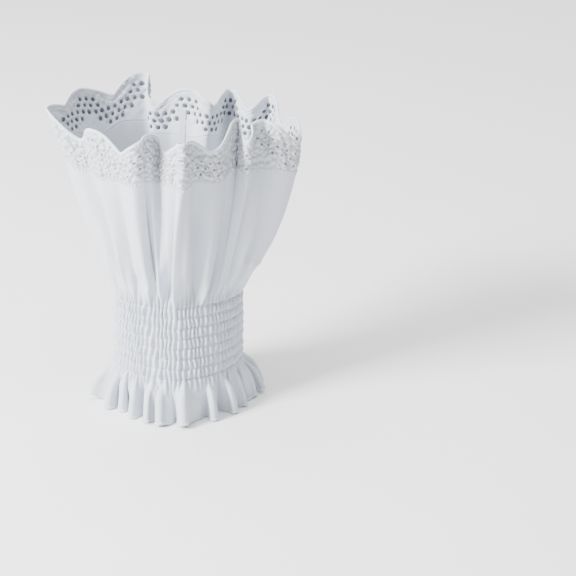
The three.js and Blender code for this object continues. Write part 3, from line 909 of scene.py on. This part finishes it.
# The elastic shows as a short stitch in each pinch of each row, a round thread that lies on the
# cloth across the valley between two puckers.
STITCH_LONG = 1.5
STITCH_THICK = 0.4
STITCH_RISE = 0.05
STITCH_DRIFT = 0.35
row_high = np.repeat(np.arange(ELASTIC_ROWS) / TIERS, PUCKERS)
row_share = np.tile((np.arange(PUCKERS) + 0.5) / PUCKERS, ELASTIC_ROWS)
row_share = row_share - STITCH_DRIFT * wandering(row_share, 9, 11) / PUCKERS
middle, around, outward = band_frame(row_share, row_high)
stitch_out = puckers(row_share, row_high * TIERS) + pressed(row_share)
stitch_out = stitch_out + BAND_THICK / 2 + STITCH_RISE
elastic = bars("elastic_stitches", middle + outward * stitch_out[:, None], around,
               -np.cross(outward, around), outward, STITCH_LONG, STITCH_THICK)
elastic.data.materials.append(thread("elastic_thread", (0.6, 0.635, 0.69)))
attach(elastic, "root")

# The frill is the end of the same cloth below the last row of elastic, free to stand out over the
# hand in flutes. The cuff stands on its hem.
FRILL_LENGTH = 21.8
FRILL_THICK = 0.7
FRILL_GAP = 0.3
HEM_HALF_WIDTH = 39.6
HEM_HALF_DEPTH = 35.5
HEM_ROUNDNESS = 1.3
FLUTES = 22
FLUTE_DEPTH = 4.2
FLUTE_WANDER = 0.3
FLUTE_UNEVENNESS = 0.25
FRILL_NECK = 0.1
FRILL_BELLY = 0.8
SMALL_FLUTES = 41
SMALL_FLUTE_DEPTH = 1.7
SMALL_FLUTE_WANDER = 0.35
SMALL_FLUTE_UNEVENNESS = 0.6
SMALL_FLUTE_START = 9
RIPPLE_HEIGHT = 0.4
# Below the band each second pucker opens into a short fan.
FAN_HEIGHT = 1.1
FAN_MIDDLE = 5
FAN_REACH = 5.5
FAN_SHARPNESS = 1.4
FRILL_PUCKER_REACH = 5
FRILL_PRESS_FADE = 12
FRILL_COLUMNS = 1000
FRILL_ROWS = 34
hem_outline = oval(HEM_HALF_WIDTH, HEM_HALF_DEPTH, HEM_ROUNDNESS, (0, 0))


def round_the_foot(place):
    """Where on the band's foot a place of the frill hangs: the flutes wander by two slow sines."""
    slow = np.sin(2 * np.pi * (3 * place + 0.15)) + 0.6 * np.sin(2 * np.pi * 7 * place)
    return place + FLUTE_WANDER * slow / FLUTES


def frill_middle(place, down):
    """The frill at a place round it and a share of the way down: a line from the band's foot to the
    hem that bellies out by a parabola, whose cosine flutes wander and vary. Its height falls so
    that the straight line between its ends keeps the cloth's length."""
    share = round_the_foot(place)
    depth = FLUTE_DEPTH * (1 + FLUTE_UNEVENNESS * np.sin(2 * np.pi * (5 * place + 0.3)))
    top = np.stack(looked_up(share, band_foot), -1)
    hem = np.stack(looked_up(share, hem_outline), -1)
    flute = np.cos(2 * np.pi * FLUTES * place)
    hem = hem + directions(hem) * (depth * flute)[..., None]
    lean = np.minimum(np.linalg.norm(hem - top, axis=-1), MOST_LEAN * FRILL_LENGTH)
    drop = np.sqrt(FRILL_LENGTH**2 - lean**2)
    held = FRILL_NECK * (1 - np.exp(-np.maximum(down, 0) / FRILL_NECK))
    freed = (down - held) / (1 - FRILL_NECK)
    reach = freed + FRILL_BELLY * freed * (1 - freed)
    plan = top + (hem - top) * reach[..., None]
    z = BAND_BOTTOM - FRILL_GAP - drop * down
    return np.concatenate([plan + AXIS, z[..., None]], -1)


def frill_point(place, down):
    """The frill with its relief and its hem kept on the surface: the last row's puckers, which open
    into fans, and below them small cosine flutes with random ripples."""
    step = 0.0008
    middle = frill_middle(place, down)
    around = frill_middle(place + step, down) - frill_middle(place - step, down)
    downward = frill_middle(place, down + 0.02) - frill_middle(place, down - 0.02)
    outward = directions(np.cross(downward, around))
    length = down * FRILL_LENGTH
    share = round_the_foot(place)
    height = np.maximum(length, 0)
    at_top = np.exp(-((height / FRILL_PUCKER_REACH) ** 1.5))
    merged = 2 * np.pi * (PUCKERS / 2 * share + PUCKER_DRIFT * wandering(place, 7, 92))
    opened = np.exp(-(((length - FAN_MIDDLE) / FAN_REACH) ** 2)) * FAN_HEIGHT
    fans = (0.5 + 0.5 * np.cos(merged)) ** FAN_SHARPNESS * opened
    lobes = 2 * np.pi * (SMALL_FLUTES * place + SMALL_FLUTE_WANDER * wandering(place, 9, 94))
    uneven = 1 + SMALL_FLUTE_UNEVENNESS * wandering(place, 12, 95)
    small = np.cos(lobes) * SMALL_FLUTE_DEPTH * uneven + RIPPLE_HEIGHT * wandering(place, 55, 91)
    drape = fans + small * np.clip(length / SMALL_FLUTE_START, 0, 1)
    opening = puckers(share, -0.5 * (1 - np.exp(-height / PUCKER_OPENING)))
    crease = pressed(share) * np.exp(-height / FRILL_PRESS_FADE)
    relief = opening * at_top + drape * (1 - at_top) + crease
    point = middle + outward * relief[..., None]
    point[..., 2] = np.maximum(point[..., 2], FRILL_THICK / 2)
    return point


place = (np.arange(FRILL_COLUMNS) / FRILL_COLUMNS)[None, :]
down = np.linspace(1, -0.01, FRILL_ROWS)[:, None]
place, down = np.broadcast_arrays(place, down)
frill_flat = np.stack([place * CLOTH_ROUND, down * FRILL_LENGTH], -1)
frill_cloth = cloth_mesh("frill_cloth", frill_point(place, down), grid_faces(*place.shape),
                         frill_flat, FRILL_THICK)
frill_cloth.data.materials.append(cotton("frill_cotton"))
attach(frill_cloth, "root")
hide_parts("wrist_frill")

# The hem is finished with a narrow rolled overlock, a round bead of close stitches that the cuff
# rests on.
HEM_BEAD = 1.5
HEM_STITCH = 0.9
HEM_SWELL = 0.1
HEM_PLACE = 0.985
HEM_STEPS = 2400
HEM_TURNS = 10
place = np.arange(HEM_STEPS) / HEM_STEPS
hem_points = frill_point(place, np.full(HEM_STEPS, HEM_PLACE))
hem_points[:, 2] = np.maximum(hem_points[:, 2], HEM_BEAD / 2 * (1 + HEM_SWELL))
tangent = directions(np.roll(hem_points, -1, 0) - np.roll(hem_points, 1, 0))
side = directions(np.cross(np.array([0.0, 0.0, 1.0]), tangent))
hem_length = np.linalg.norm(np.roll(hem_points, -1, 0) - hem_points, axis=1).sum()
section = stitched_section(HEM_TURNS, HEM_BEAD, HEM_BEAD, HEM_SWELL, HEM_STITCH,
                           hem_length, HEM_STEPS)
hem_bead = swept("hem_bead", hem_points, side, np.cross(tangent, side), section)
hem_bead.data.materials.append(thread("hem_thread", (0.67, 0.705, 0.76)))
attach(hem_bead, "root")

# The side seam shows inside the back: both edges of the tube, pressed to one side and overlocked.
# It is a flat strip of doubled cotton that lies against the sleeve from the band to the lace.
SEAM_SHARE = 0.758
SEAM_WIDTH = 4
SEAM_THICK = 0.35
SEAM_FOOT = 8
SEAM_TOP = 83
SEAM_CLEAR = 0.08
SEAM_STEPS = 160
SEAM_TURNS = 24
seam_up = np.linspace(SEAM_FOOT, SEAM_TOP, SEAM_STEPS)
turn = np.linspace(0, 2 * np.pi, SEAM_TURNS, endpoint=False)
across = bowed(np.cos(turn), 0.4) * SEAM_WIDTH / 2
inward = -SLEEVE_THICK / 2 - SEAM_THICK / 2 - SEAM_CLEAR + bowed(np.sin(turn), 0.7) * SEAM_THICK / 2
seam_share, seam_height = np.broadcast_arrays(SEAM_SHARE + across / CLOTH_ROUND, seam_up[:, None])
seam_points = draped_cloth(seam_share, seam_height, np.broadcast_to(inward, seam_share.shape))
across = np.broadcast_to(across, seam_share.shape)
seam_flat = np.stack([across + CLOTH_ROUND / 4, seam_height], -1)
low = np.arange(SEAM_TURNS // 2 - 1)
foot_cap = np.stack([low, low + 1, SEAM_TURNS - 2 - low, SEAM_TURNS - 1 - low], -1)
top_cap = foot_cap + (SEAM_STEPS - 1) * SEAM_TURNS
seam_faces = np.concatenate([grid_faces(SEAM_STEPS, SEAM_TURNS), foot_cap[:, ::-1], top_cap])
seam = cloth_mesh("seam_allowance", seam_points, seam_faces, seam_flat)
seam.data.materials.append(cotton("seam_cotton"))
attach(seam, "root")
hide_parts("side_seam")

# The studio: a plain pale floor, a small key light from the left and the front, a large soft light
# from above, and a faint pale surround.
FLOOR_HALF = 4000
floor_corners = np.array([(-1, -1, 0), (1, -1, 0), (1, 1, 0), (-1, 1, 0)]) * FLOOR_HALF
floor = cloth_mesh("studio_floor", floor_corners, np.array([[0, 1, 2, 3]]))
floor_paint, _ = new_finish("floor_paint", Base_Color=(0.95, 0.95, 0.95, 1), Roughness=0.8)
floor.data.materials.append(floor_paint)

world = bpy.data.worlds.new("studio")
world.use_nodes = True
fill(world.node_tree.nodes["Background"], Color=(0.95, 0.97, 1.0, 1), Strength=0.28)
bpy.context.scene.world = world

# Square soft lights. Columns: the light; where it stands; what it faces; its side; its power.
LIGHTS = [
    ("key_light", (-1.05, -0.52, 0.78), (0, 0, 0.08), 0.4, 66),
    ("top_light", (0.1, 0.3, 2.4), (0.1, 0.3, 0), 3, 125),
]
for name, place, target, size, power in LIGHTS:
    light = bpy.data.lights.new(name, "AREA")
    light.size = size
    light.energy = power
    lamp = bpy.data.objects.new(name, light)
    lamp.location = place
    lamp.rotation_euler = (Vector(target) - Vector(place)).to_track_quat("-Z", "Y").to_euler()
    bpy.context.scene.collection.objects.link(lamp)

# The camera stands in front and a little above, as in the photograph. The band's axis, on the
# surface, lies at a known place of the frame.
EYE_DISTANCE = 0.745
EYE_HEIGHT = 0.39
LENS = 102.5
SENSOR = 36
FRAME_PIXELS = 576
BASE_ACROSS = 179.2
BASE_DOWN = 391
focal = LENS / SENSOR * FRAME_PIXELS
centre_pixel = FRAME_PIXELS / 2
drop_angle = math.atan2(EYE_HEIGHT, EYE_DISTANCE)
pitch = drop_angle - math.atan2(BASE_DOWN - centre_pixel, focal)
slant = math.hypot(EYE_HEIGHT, EYE_DISTANCE) * math.cos(drop_angle - pitch)
yaw = math.atan2((centre_pixel - BASE_ACROSS) / focal * slant, EYE_DISTANCE)
camera_data = bpy.data.cameras.new("camera")
camera_data.lens = LENS
camera_data.sensor_width = SENSOR
camera = bpy.data.objects.new("camera", camera_data)
camera.location = (AXIS[0] * MM, AXIS[1] * MM - EYE_DISTANCE, EYE_HEIGHT)
camera.rotation_euler = (math.pi / 2 - pitch, 0, -yaw)
bpy.context.scene.collection.objects.link(camera)
bpy.context.scene.camera = camera
